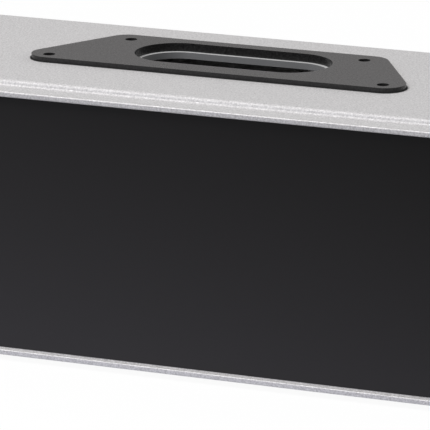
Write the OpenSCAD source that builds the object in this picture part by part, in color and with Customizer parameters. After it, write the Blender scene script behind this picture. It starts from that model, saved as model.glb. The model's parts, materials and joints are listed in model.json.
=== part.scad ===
// Operator panel enclosure: a sheet housing whose front frame steps down to a lip round the
// front panel and, on top, an adapter plate with a cable slot for a support arm.
// Millimetres. X is the width, +Y points to the rear and +Z up. The origin is the middle
// of the footprint, on the surface that the housing stands on.

/* [Front panel] */
// Width of the panel, 19-inch format
panel_w = 482.6; // [420:0.1:600]
// Height of the panel, four height units
panel_h = 177; // [130:0.5:270]
// Thickness of the panel
panel_t = 3; // [2:0.5:4]
// Corner radius of the panel
panel_corner_r = 1; // [0.5:0.1:3]
// Clearance between the panel's edge and the frame
panel_gap = 0.2; // [0.1:0.1:1]
// Depth of the panel's face behind the frame's lip
panel_recess = 3.4; // [2:0.1:5]
// Thickness of the seal behind the panel
panel_gasket_t = 1; // [0.5:0.1:1.5]
// Thread of the panel's weld studs
panel_stud_d = 4; // [3:1:4]

/* [Front frame] */
// Width of the frame's front lip
lip_w = 3.8; // [3:0.1:4.5]
// Radius of the lip's outer edge
lip_outer_r = 1; // [0.3:0.1:1.4]
// Radius of the lip's inner edge
lip_inner_r = 0.9; // [0.3:0.1:1.4]
// Width of the strip between the lip and the panel, flush with the panel's face
strip_w = 0.8; // [0.5:0.1:2]
// Depth of the frame
frame_d = 19.6; // [18.6:0.1:30]
// Height of the step from the frame's outer face up to the housing
step_h = 4; // [2:0.1:5]
// Radius of the step's bulging bend, beside the housing
step_bend_r = 3.2; // [3:0.1:4.5]
// Radius of the step's hollow bend, beside the frame's outer face
step_hollow_r = 2.2; // [2.2:0.1:4]
// Width of the frame's inner flange, from its outer face
frame_flange_w = 18; // [18:0.5:24]
// Thickness of the frame's inner flange
frame_flange_t = 3; // [2:0.5:4]
// Radius of the corners of the windows in the frame and the housing's flanges
window_r = 6; // [2:0.5:12]
// Distance of the fasteners' line from the inside of the frame's wall
frame_screw_inset = 5; // [4.8:0.1:5.2]
// Thread of the screws that hold the frame
frame_screw_d = 5; // [4:1:6]
// Length of the screws that hold the frame
frame_screw_l = 12; // [8:0.5:12.5]
// Depth of the tapped holes in the frame's bosses
frame_tap_depth = 9; // [8.5:0.1:10]
// Diameter of the frame's bosses
frame_boss_d = 11; // [11:0.5:12]
// Number of frame screws along the width
frame_screws_x = 5; // [3:1:8]
// Number of frame screws along the height
frame_screws_z = 3; // [2:1:4]
// Thickness of the seal behind the frame
frame_gasket_t = 0.6; // [0.4:0.1:1.5]
// Clearance between that seal's edge and the housing's wall
frame_gasket_gap = 0.3; // [0.1:0.1:1]

/* [Housing] */
// Thickness of the sheet
sheet_t = 2.5; // [2:0.1:3]
// Depth of the housing
shell_d = 180.5; // [175:0.5:300]
// Radius of the housing's rear edge
rear_edge_r = 2; // [0.5:0.1:2]

/* [Adapter plate] */
// Distance of the plate's middle from the frame's front
adapter_setback = 116.9; // [100:0.1:122]
// Length of the plate's front edge, to the sharp corners
adapter_front_w = 294.2; // [280:0.1:330]
// Length of the plate's back edge, to the sharp corners
adapter_back_w = 196.2; // [190:0.1:230]
// Depth of the plate
adapter_d = 86.3; // [84:0.1:96]
// Radius of the plate's corners
adapter_corner_r = 14.5; // [8:0.1:18]
// Thickness of the plate
adapter_t = 3; // [2:0.1:5]
// Length of the cable slot
slot_l = 142.6; // [100:0.1:146]
// Width of the cable slot
slot_w = 58.5; // [40:0.1:59]
// Offset of the slot behind the plate's middle
slot_shift = 3.4; // [0:0.1:5]
// Wall of the collar that lines the housing's cut-out
collar_wall = 3; // [2:0.1:3.5]
// Clearance round the collar
collar_gap = 0.3; // [0.1:0.1:0.6]
// Diameter of the holes for the arm's screws
arm_hole_d = 8.4; // [6.4:0.1:9]
// Distance between the two front holes
arm_front_pitch = 245; // [235:0.5:250]
// Distance between the two back holes
arm_back_pitch = 174; // [166:0.5:180]
// Distance of the front holes from the plate's front edge
arm_front_edge = 9.8; // [8:0.1:12]
// Distance of the back holes from the plate's back edge
arm_back_edge = 13.8; // [12:0.1:18]
// Thickness of the seal under the plate
adapter_gasket_t = 0.5; // [0.3:0.1:1.5]
// How far that seal shows round the plate
adapter_gasket_lip = 1; // [0:0.1:2]
// Thread of the plate's weld studs
adapter_stud_d = 6; // [4:1:6]

/* [Reinforcing plate] */
// Thickness of the plate inside the housing
reinforcement_t = 4.5; // [3:0.1:8]
// How far it reaches past the adapter plate all round
reinforcement_margin = 10; // [4:0.5:20]
// Width of the ledge that it leaves round the cable slot
slot_ledge = 3; // [1:0.1:5]

/* [Rear cover] */
// Thickness of the cover
cover_t = 2; // [1.5:0.1:4]
// Setback of the cover's edge from the housing's outer face
cover_margin = 4; // [3.5:0.1:4.5]
// Corner radius of the cover
cover_corner_r = 5; // [2:0.5:10]
// Distance of the cover's screws from the housing's outer face
cover_screw_inset = 9.5; // [9:0.1:10.5]
// Thread of the cover's screws
cover_screw_d = 4; // [3:1:4]
// Length of the cover's screws
cover_screw_l = 12; // [9:0.5:14]
// Number of cover screws along the width
cover_screws_x = 5; // [3:1:8]
// Number of cover screws along the height
cover_screws_z = 3; // [2:1:4]
// Thickness of the seal under the cover
rear_gasket_t = 2; // [1.2:0.1:4]
// Setback of that seal's edge from the cover's edge
rear_gasket_inset = 0.5; // [0:0.1:1]

/* [Earth terminal] */
// Thread of the earth stud
earth_stud_d = 6; // [4:1:8]
// Length of the earth stud
earth_stud_l = 20; // [18:0.5:30]
// Distance of the stud from the housing's left side
earth_side = 60; // [40:1:120]
// Distance of the stud from the housing's rear
earth_rear = 50; // [40:1:80]

/* [Hidden] */
$fn = 64;

// Clearances and cuts
hole_gap = 0.25;    // between a screw or stud and its clearance hole
thread_gap = 0.05;  // between a thread and the bore it is screwed into
stud_tail = 1.2;    // stud that stands out of its nut
cut_over = 1;       // how far a cut runs past the faces it opens

// Colours
silver_coat = [0.78, 0.77, 0.77];
black_coat = [0.13, 0.13, 0.14];
panel_black = [0.06, 0.06, 0.07];
seal_black = [0.04, 0.04, 0.04];
bare_aluminium = [0.70, 0.71, 0.72];
zinc = [0.62, 0.62, 0.60];

// Standard sizes by thread diameter
function nut_width(d) = lookup(d, [[3, 5.5], [4, 7], [5, 8], [6, 10], [8, 13]]);
function nut_height(d) = lookup(d, [[3, 2.4], [4, 3.2], [5, 4], [6, 5], [8, 6.5]]);
function washer_width(d) = lookup(d, [[3, 7], [4, 9], [5, 10], [6, 12], [8, 16]]);
function washer_height(d) = lookup(d, [[3, 0.5], [4, 0.8], [5, 1], [6, 1.6], [8, 1.6]]);
function button_width(d) = lookup(d, [[3, 5.7], [4, 7.6], [5, 9.5], [6, 10.5]]);
function button_height(d) = lookup(d, [[3, 1.65], [4, 2.2], [5, 2.75], [6, 3.3]]);
function socket_width(d) = lookup(d, [[3, 2], [4, 2.5], [5, 3], [6, 4]]);
button_rim = 0.25;       // share of a button head's height that is its straight rim
socket_depth = 0.6;      // share of a button head's height that its socket takes up
rivet_head = 2.25;       // rivet nut's head, sleeve and collar, as multiples of its thread
rivet_sleeve = 1.5;
rivet_collar = 2.1;
rivet_head_t = 0.8;
rivet_collar_l = 2;
rivet_l = 10;

// Front view, worked out from the panel outwards
frame_wall = lip_w + strip_w;
frame_corner_r = panel_corner_r + panel_gap + frame_wall;
frame_w = panel_w + 2 * (panel_gap + frame_wall);
frame_h = panel_h + 2 * (panel_gap + frame_wall);
window_w = frame_w - 2 * frame_flange_w;
window_h = frame_h - 2 * frame_flange_w;
shell_corner_r = frame_corner_r + step_h;
shell_w = frame_w + 2 * step_h;
shell_h = frame_h + 2 * step_h;
mid_z = shell_h / 2;

// Depth, from the frame's front to the heads of the cover's screws
rear_stack = rear_gasket_t + cover_t + washer_height(cover_screw_d) + button_height(cover_screw_d);
total_d = frame_d + shell_d + rear_stack;
front_y = -total_d / 2;
panel_y = front_y + panel_recess;
panel_back_y = panel_y + panel_t;
seat_y = panel_back_y + panel_gasket_t;
seat_back_y = seat_y + frame_flange_t;
shell_y = front_y + frame_d;
front_flange_y = shell_y + frame_gasket_t;
front_flange_back_y = front_flange_y + sheet_t;
shell_back_y = shell_y + shell_d;
rear_flange_y = shell_back_y - sheet_t;
cover_y = shell_back_y + rear_gasket_t;
cover_back_y = cover_y + cover_t;

// Fastener spots in the front view, about the middle of the height
function row(count, span) = [for (i = [0 : count - 1]) span * (i / (count - 1) - 0.5)];
function between(v) = [for (i = [0 : len(v) - 2]) (v[i] + v[i + 1]) / 2];
function inner(v) = [for (i = [1 : 1 : len(v) - 2]) v[i]];
function rim_spots(w, h, xs, zs) = concat(
    [for (x = xs, s = [-0.5, 0.5]) [x, s * h]],
    [for (z = zs, s = [-0.5, 0.5]) [s * w, z]]
);
frame_line_w = frame_w - 2 * (frame_wall + frame_screw_inset);
frame_line_h = frame_h - 2 * (frame_wall + frame_screw_inset);
frame_xs = row(frame_screws_x, frame_line_w);
frame_zs = row(frame_screws_z, frame_line_h);
frame_spots = rim_spots(frame_line_w, frame_line_h, frame_xs, inner(frame_zs));
panel_spots = rim_spots(frame_line_w, frame_line_h, between(frame_xs), between(frame_zs));
cover_line_w = shell_w - 2 * cover_screw_inset;
cover_line_h = shell_h - 2 * cover_screw_inset;
cover_spots = rim_spots(cover_line_w, cover_line_h, row(cover_screws_x, cover_line_w),
                        inner(row(cover_screws_z, cover_line_h)));

// Heights of the adapter's stack
adapter_y = front_y + adapter_setback;
adapter_z = shell_h + adapter_gasket_t;
ceiling_z = shell_h - sheet_t;
reinforcement_z = ceiling_z - reinforcement_t;
adapter_washer_z = reinforcement_z - washer_height(adapter_stud_d);
adapter_nut_z = adapter_washer_z - nut_height(adapter_stud_d);
adapter_stud_z = adapter_nut_z - stud_tail;

// Plan of the adapter plate, about its middle: its side edges lean in towards the rear
side_lean = (adapter_front_w - adapter_back_w) / 2 / adapter_d;
side_stretch = sqrt(1 + side_lean * side_lean);
function side_x(y) = (adapter_front_w + adapter_back_w) / 4 - side_lean * y;
corner_y = adapter_d / 2 - adapter_corner_r;
function corner_x(y) = side_x(y) - adapter_corner_r * side_stretch;
corner_centres = [
    [-corner_x(-corner_y), -corner_y], [corner_x(-corner_y), -corner_y],
    [corner_x(corner_y), corner_y], [-corner_x(corner_y), corner_y]
];
edge_normals = [[0, -1], [1, side_lean] / side_stretch, [0, 1], [-1, side_lean] / side_stretch];
arm_holes = [
    for (s = [-0.5, 0.5])
        each [[s * arm_front_pitch, arm_front_edge - adapter_d / 2],
              [s * arm_back_pitch, adapter_d / 2 - arm_back_edge]]
];
front_land_y = (slot_shift - slot_w / 2 - collar_wall - adapter_d / 2) / 2;
side_land_x = (slot_l / 2 + collar_wall + side_x(slot_shift)) / 2;
adapter_studs_at = [
    for (s = [-1, 1]) each [[s * (slot_l - slot_w) / 2, front_land_y], [s * side_land_x, slot_shift]]
];

// Stack on the earth stud: washer, nut, washer, nut
earth_step = washer_height(earth_stud_d) + nut_height(earth_stud_d);
earth_levels = [sheet_t, sheet_t + earth_step];

// Outlines and placing

module rounded_rect(w, h, r) {
    square([w - 2 * r, h], center = true);
    square([w, h - 2 * r], center = true);
    for (sx = [-1, 1], sy = [-1, 1])
        translate([sx * (w / 2 - r), sy * (h / 2 - r)]) circle(r);
}

module stadium(l, w) {
    square([l - w, w], center = true);
    for (s = [-1, 1]) translate([s * (l - w) / 2, 0]) circle(d = w);
}

// Outline of the adapter plate, grown by an even margin
module adapter_outline(grow = 0) {
    r = adapter_corner_r + grow;
    polygon([
        for (i = [0 : 3])
            each [corner_centres[i] + r * edge_normals[i], corner_centres[(i + 1) % 4] + r * edge_normals[i]]
    ]);
    for (c = corner_centres) translate(c) circle(r);
}

// Extrudes a front-view outline from y towards the rear
module slab(y, depth)
    translate([0, y + depth, mid_z]) rotate([90, 0, 0]) linear_extrude(depth) children();

// Extrudes a plan of the adapter from z upwards
module layer(z, height) translate([0, adapter_y, z]) linear_extrude(height) children();

// Places children at front-view spots, with their z along the depth
module at_front(spots)
    for (s = spots) translate([s[0], 0, mid_z + s[1]]) rotate([-90, 0, 0]) children();

// Places children at spots in the adapter's plan
module at_top(spots) for (s = spots) translate([s[0], adapter_y + s[1], 0]) children();

module rod(z, length, d) translate([0, 0, z]) cylinder(d = d, h = length);

module bore(z, length, d) rod(z - cut_over, length + 2 * cut_over, d);

// Sweeps a section round a rectangle with rounded corners. The section's x runs outwards
// from the corners' centres, its y along the depth from the rear.
module swept_rim(w, h, corner_r) {
    straights = [w - 2 * corner_r, h - 2 * corner_r];
    for (turn = [0 : 3]) {
        length = straights[turn % 2];
        reach = straights[(turn + 1) % 2] / 2;
        rotate(90 * turn) {
            translate([-length / 2, reach, 0]) rotate([90, 0, 90]) linear_extrude(length) children();
            translate([length / 2, reach, 0]) rotate_extrude(angle = 90) children();
        }
    }
}

// What a rounding takes off a corner at the origin whose sides run to -x and -y
module corner_cut(r)
    if (r > 0) translate([-r, -r]) difference() {
        square(r + cut_over);
        circle(r);
    }

// Strip from x0 to x1. Its edges at the far end and its outer edge at the near end can be round.
module strip_section(x0, x1, depth, far_r = 0, far_inner_r = 0, near_r = 0) difference() {
    translate([x0, 0]) square([x1 - x0, depth]);
    translate([x1, depth]) corner_cut(far_r);
    translate([x0, depth]) mirror([1, 0]) corner_cut(far_inner_r);
    translate([x1, 0]) mirror([0, 1]) corner_cut(near_r);
}

// Fasteners, along z

module hex_nut(z, d) difference() {
    rod(z, nut_height(d), nut_width(d) / cos(30), $fn = 6);
    bore(z, nut_height(d), d + 2 * thread_gap);
}

module washer(z, d) difference() {
    rod(z, washer_height(d), washer_width(d));
    bore(z, washer_height(d), d + 2 * hole_gap);
}

// Button head on the side of +z of a shank that points to -z, with a hexagon socket
module button_screw(z, d, length) {
    h = button_height(d);
    w = button_width(d);
    dome_h = h * (1 - button_rim);
    dome_r = (dome_h * dome_h + w * w / 4) / (2 * dome_h);
    rod(z - length, length, d);
    difference() {
        translate([0, 0, z]) rotate_extrude() intersection() {
            square([w / 2, h]);
            translate([0, h - dome_r]) circle(dome_r);
        }
        rod(z + h * (1 - socket_depth), h, socket_width(d) / cos(30), $fn = 6);
    }
}

// Rivet nut set in a sheet whose outer face is at z
module rivet_nut(z, d) difference() {
    union() {
        rod(z, rivet_head_t, rivet_head * d);
        rod(z - rivet_l, rivet_l, rivet_sleeve * d);
        rod(z - sheet_t - rivet_collar_l, rivet_collar_l, rivet_collar * d);
    }
    bore(z - rivet_l, rivet_l + rivet_head_t, d + 2 * thread_gap);
}

// Housing

module housing_shell() color(silver_coat) difference() {
    translate([0, shell_back_y, mid_z]) rotate([90, 0, 0])
        swept_rim(shell_w, shell_h, shell_corner_r)
            strip_section(shell_corner_r - sheet_t, shell_corner_r, shell_d, near_r = rear_edge_r);
    layer(ceiling_z - cut_over, sheet_t + 2 * cut_over) collar_cut_out();
    at_top(arm_holes) bore(ceiling_z, sheet_t, arm_hole_d);
    at_top(adapter_studs_at) bore(ceiling_z, sheet_t, adapter_stud_d + 2 * hole_gap);
}

// Ring from the inside of the housing's walls to the window
module flange_outline() difference() {
    rounded_rect(shell_w - 2 * sheet_t, shell_h - 2 * sheet_t, shell_corner_r - sheet_t);
    rounded_rect(window_w, window_h, window_r);
}

// Welded in, set back by the seal behind the frame
module front_flange() color(silver_coat) difference() {
    slab(front_flange_y, sheet_t) flange_outline();
    at_front(frame_spots) bore(front_flange_y, sheet_t, frame_screw_d + 2 * hole_gap);
}

// Welded in, flush with the housing's rear edge
module rear_flange() color(silver_coat) difference() {
    slab(rear_flange_y, sheet_t) flange_outline();
    at_front(cover_spots) bore(rear_flange_y, sheet_t, rivet_sleeve * cover_screw_d + 2 * thread_gap);
}

module collar_cut_out()
    translate([0, slot_shift])
        stadium(slot_l + 2 * (collar_wall + collar_gap), slot_w + 2 * (collar_wall + collar_gap));

// Front frame and panel

// Section of the frame: at the front the lip and the strip beside it, at the rear a step
// that bends up from the outer face and over to the housing's face
module frame_section() {
    reach = step_bend_r + step_hollow_r;
    lean = asin(1 - step_h / reach);
    slope = [sin(lean), cos(lean)];
    outer_x = shell_corner_r - step_h;
    inner_x = outer_x - frame_wall;
    bend = [shell_corner_r - step_bend_r, 0];
    hollow = bend + reach * slope;
    strip_section(outer_x - lip_w, outer_x, frame_d, lip_outer_r, lip_inner_r);
    translate([inner_x, 0]) square([strip_w + lip_w / 2, frame_d - panel_recess]);
    intersection() {
        translate(bend) circle(step_bend_r);
        polygon([for (corner = [[0, 0], [2, 0], [2, 2], 2 * slope]) bend + step_bend_r * corner]);
    }
    difference() {
        polygon([[inner_x, 0], bend, hollow, [inner_x, hollow[1]]]);
        translate(hollow) circle(step_hollow_r);
    }
}

module front_frame() color(silver_coat) difference() {
    union() {
        translate([0, shell_y, mid_z]) rotate([90, 0, 0])
            swept_rim(shell_w, shell_h, shell_corner_r) frame_section();
        slab(seat_y, frame_flange_t) difference() {
            rounded_rect(frame_w - 2 * lip_w, frame_h - 2 * lip_w, frame_corner_r - lip_w);
            rounded_rect(window_w, window_h, window_r);
        }
        at_front(frame_spots) rod(seat_back_y, shell_y - seat_back_y, frame_boss_d);
    }
    at_front(frame_spots)
        rod(shell_y - frame_tap_depth, frame_tap_depth + cut_over, frame_screw_d + 2 * thread_gap);
    at_front(panel_spots) bore(seat_y, frame_flange_t, panel_stud_d + 2 * hole_gap);
}

module frame_gasket() color(seal_black) difference() {
    slab(shell_y, frame_gasket_t) difference() {
        rounded_rect(shell_w - 2 * (sheet_t + frame_gasket_gap), shell_h - 2 * (sheet_t + frame_gasket_gap),
                     shell_corner_r - sheet_t - frame_gasket_gap);
        rounded_rect(window_w, window_h, window_r);
    }
    at_front(frame_spots) bore(shell_y, frame_gasket_t, frame_screw_d + 2 * hole_gap);
}

module frame_washers() color(zinc) at_front(frame_spots) washer(front_flange_back_y, frame_screw_d);

module frame_screws() color(zinc)
    at_front(frame_spots)
        button_screw(front_flange_back_y + washer_height(frame_screw_d), frame_screw_d, frame_screw_l);

module front_panel() color(panel_black) slab(panel_y, panel_t) rounded_rect(panel_w, panel_h, panel_corner_r);

module panel_gasket() color(seal_black) difference() {
    slab(panel_back_y, panel_gasket_t) difference() {
        rounded_rect(panel_w, panel_h, panel_corner_r);
        rounded_rect(window_w, window_h, window_r);
    }
    at_front(panel_spots) bore(panel_back_y, panel_gasket_t, panel_stud_d + 2 * hole_gap);
}

module panel_studs() color(zinc)
    at_front(panel_spots)
        rod(panel_back_y, panel_gasket_t + frame_flange_t + washer_height(panel_stud_d)
            + nut_height(panel_stud_d) + stud_tail, panel_stud_d);

module panel_washers() color(zinc) at_front(panel_spots) washer(seat_back_y, panel_stud_d);

module panel_nuts() color(zinc)
    at_front(panel_spots) hex_nut(seat_back_y + washer_height(panel_stud_d), panel_stud_d);

// Support arm adapter

module adapter_plate() color(black_coat) difference() {
    union() {
        layer(adapter_z, adapter_t) adapter_outline();
        layer(ceiling_z, adapter_z - ceiling_z) translate([0, slot_shift])
            stadium(slot_l + 2 * collar_wall, slot_w + 2 * collar_wall);
    }
    layer(ceiling_z - cut_over, adapter_z + adapter_t - ceiling_z + 2 * cut_over)
        translate([0, slot_shift]) stadium(slot_l, slot_w);
    at_top(arm_holes) bore(adapter_z, adapter_t, arm_hole_d);
}

module adapter_gasket() color(seal_black) difference() {
    layer(shell_h, adapter_gasket_t) difference() {
        adapter_outline(adapter_gasket_lip);
        collar_cut_out();
    }
    at_top(arm_holes) bore(shell_h, adapter_gasket_t, arm_hole_d);
    at_top(adapter_studs_at) bore(shell_h, adapter_gasket_t, adapter_stud_d + 2 * hole_gap);
}

module adapter_studs() color(zinc)
    at_top(adapter_studs_at) rod(adapter_stud_z, adapter_z - adapter_stud_z, adapter_stud_d);

module reinforcing_plate() color(bare_aluminium) difference() {
    layer(reinforcement_z, reinforcement_t) difference() {
        adapter_outline(reinforcement_margin);
        translate([0, slot_shift]) stadium(slot_l - 2 * slot_ledge, slot_w - 2 * slot_ledge);
    }
    at_top(arm_holes) bore(reinforcement_z, reinforcement_t, arm_hole_d);
    at_top(adapter_studs_at) bore(reinforcement_z, reinforcement_t, adapter_stud_d + 2 * hole_gap);
}

module adapter_washers() color(zinc) at_top(adapter_studs_at) washer(adapter_washer_z, adapter_stud_d);

module adapter_nuts() color(zinc) at_top(adapter_studs_at) hex_nut(adapter_nut_z, adapter_stud_d);

// Rear cover

module rear_cover() color(silver_coat) difference() {
    slab(cover_y, cover_t)
        rounded_rect(shell_w - 2 * cover_margin, shell_h - 2 * cover_margin, cover_corner_r);
    at_front(cover_spots) bore(cover_y, cover_t, cover_screw_d + 2 * hole_gap);
}

module rear_gasket() color(seal_black) difference() {
    slab(shell_back_y, rear_gasket_t) difference() {
        rounded_rect(shell_w - 2 * (cover_margin + rear_gasket_inset),
                     shell_h - 2 * (cover_margin + rear_gasket_inset), cover_corner_r - rear_gasket_inset);
        rounded_rect(window_w, window_h, window_r);
    }
    at_front(cover_spots)
        bore(shell_back_y, rear_gasket_t, rivet_head * cover_screw_d + 2 * hole_gap);
}

module rivet_nuts() color(zinc) at_front(cover_spots) rivet_nut(shell_back_y, cover_screw_d);

module cover_washers() color(seal_black) at_front(cover_spots) washer(cover_back_y, cover_screw_d);

module cover_screws() color(zinc)
    at_front(cover_spots)
        button_screw(cover_back_y + washer_height(cover_screw_d), cover_screw_d, cover_screw_l);

// Earth terminal inside the housing

module at_earth()
    translate([earth_side - shell_w / 2, shell_back_y - earth_rear, 0]) children();

module earth_stud() color(zinc) at_earth() rod(sheet_t, earth_stud_l, earth_stud_d);

module earth_washers() color(zinc) at_earth() for (z = earth_levels) washer(z, earth_stud_d);

module earth_nuts() color(zinc)
    at_earth() for (z = earth_levels) hex_nut(z + washer_height(earth_stud_d), earth_stud_d);

housing_shell();
front_flange();
rear_flange();
front_frame();
frame_gasket();
frame_screws();
frame_washers();
front_panel();
panel_gasket();
panel_studs();
panel_washers();
panel_nuts();
adapter_plate();
adapter_gasket();
adapter_studs();
reinforcing_plate();
adapter_washers();
adapter_nuts();
rear_cover();
rear_gasket();
cover_screws();
cover_washers();
rivet_nuts();
earth_stud();
earth_washers();
earth_nuts();
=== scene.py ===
"""Looks of the operator panel enclosure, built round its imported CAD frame."""
import json
import math

import bpy
from mathutils import Matrix, Vector


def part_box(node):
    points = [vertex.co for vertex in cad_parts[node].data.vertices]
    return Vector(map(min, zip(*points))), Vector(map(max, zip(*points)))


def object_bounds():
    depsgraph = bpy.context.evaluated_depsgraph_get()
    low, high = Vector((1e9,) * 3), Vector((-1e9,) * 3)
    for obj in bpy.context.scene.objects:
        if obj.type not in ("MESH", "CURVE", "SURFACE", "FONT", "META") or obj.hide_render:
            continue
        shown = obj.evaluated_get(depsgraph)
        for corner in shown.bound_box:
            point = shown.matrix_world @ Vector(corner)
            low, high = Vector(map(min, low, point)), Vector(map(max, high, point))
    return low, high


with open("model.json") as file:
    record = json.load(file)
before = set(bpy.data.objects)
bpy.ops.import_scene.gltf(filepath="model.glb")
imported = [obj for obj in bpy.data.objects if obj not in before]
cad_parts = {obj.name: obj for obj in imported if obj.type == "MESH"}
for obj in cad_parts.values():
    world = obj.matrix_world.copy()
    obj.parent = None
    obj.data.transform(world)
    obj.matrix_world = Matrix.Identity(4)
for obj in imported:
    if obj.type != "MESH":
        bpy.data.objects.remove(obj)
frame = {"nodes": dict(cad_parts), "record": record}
cad_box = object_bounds()

# Metres for one millimetre
MM = 0.001

# White, as a node takes it
WHITE = (1, 1, 1, 1)

# The colour sockets of a Mix node
MIX_A, MIX_B, MIX_RESULT = 6, 7, 2


# Shader nodes

def node_adder(tree):
    """A function that adds a node to the tree, with its settings and its inputs' links or values."""
    def add(kind, inputs=None, **settings):
        node = tree.nodes.new(kind)
        for key, value in settings.items():
            setattr(node, key, value)
        for key, value in (inputs or {}).items():
            if isinstance(value, bpy.types.NodeSocket):
                tree.links.new(value, node.inputs[key])
            else:
                node.inputs[key].default_value = value
        return node
    return add


def new_material(name):
    """A material with a Principled shader, its node adder, and a function that links its sockets."""
    material = bpy.data.materials.new(name)
    material.use_nodes = True
    tree = material.node_tree
    shader = tree.nodes["Principled BSDF"]

    def link(source, socket):
        tree.links.new(source, shader.inputs[socket])

    return material, shader, node_adder(tree), link


def place_on(add, coordinates="Object"):
    """The point's place: in the object's own metres, or as shares of its box for "Generated"."""
    return add("ShaderNodeTexCoord").outputs[coordinates]


def axes(add, vector):
    """The X, Y and Z of a vector."""
    return add("ShaderNodeSeparateXYZ", {0: vector}).outputs


def calc(add, operation, *values):
    """The result of a Math node on sockets or numbers."""
    return add("ShaderNodeMath", dict(enumerate(values)), operation=operation).outputs[0]


def noise(add, size, detail=2.0, roughness=0.6):
    """A noise whose features are about size metres across, in the object's own coordinates."""
    inputs = {"Vector": place_on(add), "Scale": 1 / size, "Detail": detail, "Roughness": roughness}
    return add("ShaderNodeTexNoise", inputs).outputs["Fac"]


def spread(add, value, low, high, start=0.3, end=0.7):
    """Maps start...end, by default a noise's middle range, to low...high, and no further."""
    inputs = {"Value": value, "From Min": start, "From Max": end, "To Min": low, "To Max": high}
    return add("ShaderNodeMapRange", inputs).outputs["Result"]


def mixed(add, value, first, second):
    """The mix of two colours, or of two colour sockets, by a value from 0 to 1."""
    inputs = {"Factor": value, MIX_A: first, MIX_B: second}
    return add("ShaderNodeMix", inputs, data_type="RGBA").outputs[MIX_RESULT]


def tint(add, value, dark, light):
    """A colour between dark and light, by a value from 0 to 1."""
    return mixed(add, value, (*dark, 1), (*light, 1))


def bumps(add, height, relief):
    """The surface's direction on bumps that are up to relief metres high."""
    return add("ShaderNodeBump", {"Distance": relief, "Height": height}).outputs["Normal"]


def facing_up(add):
    """The upward share of the surface's direction: 1 on top, 0 on upright faces, -1 underneath."""
    return axes(add, add("ShaderNodeNewGeometry").outputs["True Normal"])["Z"]


# Materials

# Detail of a coat's grain
GRAIN_DETAIL = 3
# Size of a coat's patches of like roughness, in grains
PATCH_GRAINS = 1.7
# How far roughness swings to each side of its mean
ROUGHNESS_SWING = 0.06
# Upward share of a face's direction at which the painted sheen starts, and at which it is full
PAINTED_SHEEN_UP = (0.2, 0.9)

# Size of the silver coat's metal flakes, and the noise levels between which a flake fades in
FLAKE = 0.8 * MM
FLAKE_CUT = (0.56, 0.66)
# Metallic share and roughness of the silver coat, between its flakes and on them
FLAKE_METAL = (0.15, 0.42)
FLAKE_ROUGHNESS = (0.6, 0.45)
# Metallic share that the lip's rounded edges have on top of that, and the depths behind the lip's
# face over which it fades in and out
EDGE_METAL = 0.42
EDGE_IN = (0.03 * MM, 0.15 * MM)
EDGE_OUT = (0.6 * MM, 0.9 * MM)

# Black of the front panel's upper right and lower left corners; the shift from one to the other is
# painted light, lighter towards the lower left
PANEL_PAINTED_DARK = (0.0010, 0.0008, 0.0011)
PANEL_PAINTED_LIT = (0.035, 0.0335, 0.0358)
# How much the way across the panel counts in that shade, beside the way up
PANEL_SLANT = 0.6
# Size of the panel's patches of like roughness, and the range of that roughness
PANEL_PATCH = 3 * MM
PANEL_ROUGHNESS = (0.42, 0.48)
PANEL_SPECULAR = 0.16


def patchy(add, roughness, size):
    """A roughness that swings a little round its mean, in patches about size metres across."""
    return spread(add, noise(add, size), roughness - ROUGHNESS_SWING, roughness + ROUGHNESS_SWING)


def powder_coat(name, dark, light, roughness, grain, relief, metallic=0.0, specular=0.5, painted_sheen=None):
    """Sprayed coat: a fine grain, relief metres high, that shows in its colour and its surface.

    The last argument gives the dark and the light of the upward faces: painted sheen, a lighter
    colour there that stands in for the gloss they catch.
    """
    material, shader, add, link = new_material(name)
    fine = noise(add, grain, GRAIN_DETAIL)
    shade = spread(add, fine, 0, 1)
    colour = tint(add, shade, dark, light)
    # Painted sheen: upward faces take a lighter colour that stands in for the gloss they catch
    if painted_sheen:
        sheen_share = spread(add, facing_up(add), 0, 1, *PAINTED_SHEEN_UP)
        colour = mixed(add, sheen_share, colour, tint(add, shade, *painted_sheen))
    link(colour, "Base Color")
    link(patchy(add, roughness, PATCH_GRAINS * grain), "Roughness")
    link(bumps(add, fine, relief), "Normal")
    shader.inputs["Metallic"].default_value = metallic
    shader.inputs["Specular IOR Level"].default_value = specular
    return material


def thin_coat(add):
    """1 on the rounded edges of the frame's lip, where the coat is thinnest, and 0 elsewhere."""
    y = axes(add, place_on(add))["Y"]
    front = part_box("front_frame")[0].y
    rise = spread(add, y, 0, 1, *[front + depth for depth in EDGE_IN])
    fall = spread(add, y, 1, 0, *[front + depth for depth in EDGE_OUT])
    return calc(add, "MULTIPLY", rise, fall)


def flake_coat(name, dark, light, grain, relief, specular):
    """Silver powder coat: a fine pale grain with small bright metal flakes in it."""
    material, shader, add, link = new_material(name)
    fine = noise(add, grain, GRAIN_DETAIL)
    flake = spread(add, noise(add, FLAKE), 0, 1, *FLAKE_CUT)
    metal = spread(add, flake, *FLAKE_METAL, 0, 1)
    link(tint(add, spread(add, fine, 0, 1), dark, light), "Base Color")
    link(calc(add, "MULTIPLY_ADD", thin_coat(add), EDGE_METAL, metal), "Metallic")
    link(spread(add, flake, *FLAKE_ROUGHNESS, 0, 1), "Roughness")
    link(bumps(add, fine, relief), "Normal")
    shader.inputs["Specular IOR Level"].default_value = specular
    return material


def shaded_cut_plate(name, cut, rolled, roughness, patch, metallic):
    """Bare sheet metal: bright on its rolled faces, with painted shade that makes the upright cut
    edges darker.
    """
    material, shader, add, link = new_material(name)
    # The darker colour on upright faces is painted shade
    flat = calc(add, "ABSOLUTE", facing_up(add))
    link(tint(add, flat, cut, rolled), "Base Color")
    link(patchy(add, roughness, patch), "Roughness")
    shader.inputs["Metallic"].default_value = metallic
    return material


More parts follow.
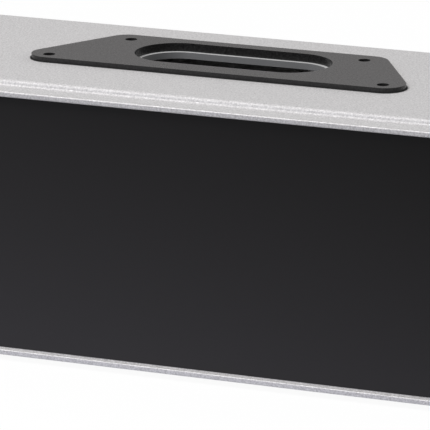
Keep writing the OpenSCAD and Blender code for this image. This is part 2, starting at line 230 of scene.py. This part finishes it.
def panel_film(name):
    """Satin black of the front panel, with painted light that makes it a little lighter towards its
    lower left.
    """
    material, shader, add, link = new_material(name)
    place = axes(add, place_on(add, "Generated"))
    slant = calc(add, "MULTIPLY_ADD", place["X"], PANEL_SLANT, place["Z"])
    shade = spread(add, slant, 1, 0, 0, 1 + PANEL_SLANT)
    link(tint(add, shade, PANEL_PAINTED_DARK, PANEL_PAINTED_LIT), "Base Color")
    link(spread(add, noise(add, PANEL_PATCH), *PANEL_ROUGHNESS), "Roughness")
    shader.inputs["Specular IOR Level"].default_value = PANEL_SPECULAR
    return material


SILVER_COAT = flake_coat("silver_coat", dark=(0.455, 0.4485, 0.4495), light=(0.735, 0.7245, 0.7255),
                         grain=1.2 * MM, relief=0.08 * MM, specular=0.3)
# The black coat's lighter upward faces are painted sheen
BLACK_COAT = powder_coat("black_coat", dark=(0.009, 0.0088, 0.0088), light=(0.031, 0.0305, 0.0305),
                         roughness=0.25, grain=1.2 * MM, relief=0.06 * MM, specular=0.25,
                         painted_sheen=((0.040, 0.038, 0.038), (0.112, 0.1065, 0.1065)))
PANEL_BLACK = panel_film("panel_black")
SEAL = powder_coat("seal", dark=(0.010, 0.010, 0.010), light=(0.016, 0.016, 0.016),
                   roughness=0.8, grain=0.5 * MM, relief=0.02 * MM, specular=0.3)
# Its darker upright cut edges are painted shade
BARE_ALUMINIUM = shaded_cut_plate("bare_aluminium", cut=(0.225, 0.227, 0.23), rolled=(0.60, 0.60, 0.60),
                           roughness=0.5, patch=2 * MM, metallic=0.1)
ZINC = powder_coat("zinc_steel", dark=(0.52, 0.52, 0.50), light=(0.62, 0.62, 0.60),
                   roughness=0.35, grain=1.5 * MM, relief=0.005 * MM, metallic=1.0)

# The finish of each material slot in the record
FINISH = {"silver_coat": SILVER_COAT, "black_coat": BLACK_COAT, "panel_black": PANEL_BLACK,
          "seal": SEAL, "bare_aluminium": BARE_ALUMINIUM, "zinc_steel": ZINC}

for part in frame["record"]["subparts"]:
    mesh = frame["nodes"][part["node"]].data
    mesh.materials.clear()
    mesh.materials.append(FINISH[part["material_slot"]])


# Floor

# Side of the floor, and its distance below the object, in metres
FLOOR_SIZE = 30.0
FLOOR_GAP = 0.2 * MM
FLOOR_ROUGHNESS = 0.9
# Share of its own white light where the floor is seen; the rest shows the object's shadow
FLOOR_GLOW = 0.94
# Colour of the floor as it lights the object, on a pale sheet close by and beyond it, and the
# distances from the origin, in metres, between which one turns into the other
SHEET_BOUNCE = (0.58, 0.585, 0.72)
FLOOR_BOUNCE = (0.15, 0.15, 0.16)
SHEET_EDGE = (0.25, 0.40)


def seen_directly(add):
    """1 for the rays that show the background: the camera's, and those in gloss and glass."""
    path = add("ShaderNodeLightPath").outputs
    direct = calc(add, "MAXIMUM", path["Is Camera Ray"], path["Is Glossy Ray"])
    return calc(add, "MAXIMUM", direct, path["Is Transmission Ray"])


def pale_floor():
    """White where it is seen, apart from the object's soft shadow; its bounce dims further out."""
    material, shader, add, link = new_material("pale_floor")
    seen = seen_directly(add)
    away = add("ShaderNodeVectorMath", {0: place_on(add)}, operation="LENGTH").outputs["Value"]
    bounce = tint(add, spread(add, away, 0, 1, *SHEET_EDGE), SHEET_BOUNCE, FLOOR_BOUNCE)
    link(mixed(add, seen, bounce, WHITE), "Base Color")
    shader.inputs["Roughness"].default_value = FLOOR_ROUGHNESS
    shader.inputs["Specular IOR Level"].default_value = 0.0
    glow = add("ShaderNodeEmission", {"Color": WHITE, "Strength": 1.0})
    share = calc(add, "MULTIPLY", seen, FLOOR_GLOW)
    mix = add("ShaderNodeMixShader", {0: share, 1: shader.outputs[0], 2: glow.outputs[0]})
    tree = material.node_tree
    tree.links.new(mix.outputs[0], tree.nodes["Material Output"].inputs["Surface"])
    return material


bpy.ops.mesh.primitive_plane_add(size=FLOOR_SIZE, location=(0, 0, cad_box[0].z - FLOOR_GAP))
floor = bpy.context.object
floor.name = "floor"
floor.data.materials.append(pale_floor())


# Light

# Strength of the even light from all round
SKY_LIGHT = 0.33

world = bpy.data.worlds.new("studio")
bpy.context.scene.world = world
world.use_nodes = True
sky = world.node_tree.nodes["Background"].inputs
sky["Color"].default_value = WHITE
sky["Strength"].default_value = SKY_LIGHT


def softbox(name, place, size, power, colour=(1, 1, 1)):
    """A square lamp that faces the object's middle: place and side in metres, power in watts."""
    light = bpy.data.lights.new(name, "AREA")
    light.shape = "SQUARE"
    light.size = size
    light.energy = power
    light.color = colour
    lamp = bpy.data.objects.new(name, light)
    bpy.context.scene.collection.objects.link(lamp)
    middle = (cad_box[0] + cad_box[1]) / 2
    lamp.location = place
    lamp.rotation_euler = (middle - Vector(place)).to_track_quat("-Z", "Y").to_euler()


softbox("key", place=(-1.27, -1.47, 3.47), size=1.87, power=117, colour=(1.0, 0.99, 0.985))
softbox("front fill", place=(-0.45, -1.75, 1.15), size=0.8, power=5, colour=(0.84, 0.865, 1.0))
softbox("back fill", place=(1.7, 1.5, 0.9), size=1.2, power=15)


# Camera

# The photograph's view, fitted to the adapter plate: its direction, its focal length, and where
# the middle of the plate's top lies in the picture
VIEW_AZIMUTH = math.radians(21.54)
VIEW_ELEVATION = math.radians(15.46)
IMAGE_PX = 430
FOCAL_PX = 4181
PLATE_PX = (231.27, 58.65)
# Size of a pixel at the plate's distance
MM_PER_PX = 0.69
# Width of the camera's sensor, and the distance in metres up to which it sees
SENSOR_MM = 36
SIGHT = 100


def photo_camera():
    """The camera that puts the plate's middle on its pixel, seen along the fitted direction."""
    right = Vector((math.cos(VIEW_AZIMUTH), math.sin(VIEW_AZIMUTH), 0))
    level = math.cos(VIEW_ELEVATION)
    ahead = Vector((-math.sin(VIEW_AZIMUTH) * level, math.cos(VIEW_AZIMUTH) * level,
                    -math.sin(VIEW_ELEVATION)))
    up = right.cross(ahead)
    low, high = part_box("adapter_plate")
    plate = Vector(((low.x + high.x) / 2, (low.y + high.y) / 2, high.z))
    sideways = right * (PLATE_PX[0] - IMAGE_PX / 2)
    upwards = up * (IMAGE_PX / 2 - PLATE_PX[1])
    offset = (sideways + upwards + ahead * FOCAL_PX) * MM_PER_PX * MM
    data = bpy.data.cameras.new("photo_camera")
    data.sensor_width = SENSOR_MM
    data.lens = SENSOR_MM * FOCAL_PX / IMAGE_PX
    data.clip_end = SIGHT
    camera = bpy.data.objects.new("photo_camera", data)
    bpy.context.scene.collection.objects.link(camera)
    camera.matrix_world = Matrix((right, up, -ahead)).transposed().to_4x4()
    camera.location = plate - offset
    return camera


bpy.context.scene.camera = photo_camera()
bpy.context.scene.view_settings.view_transform = "Standard"
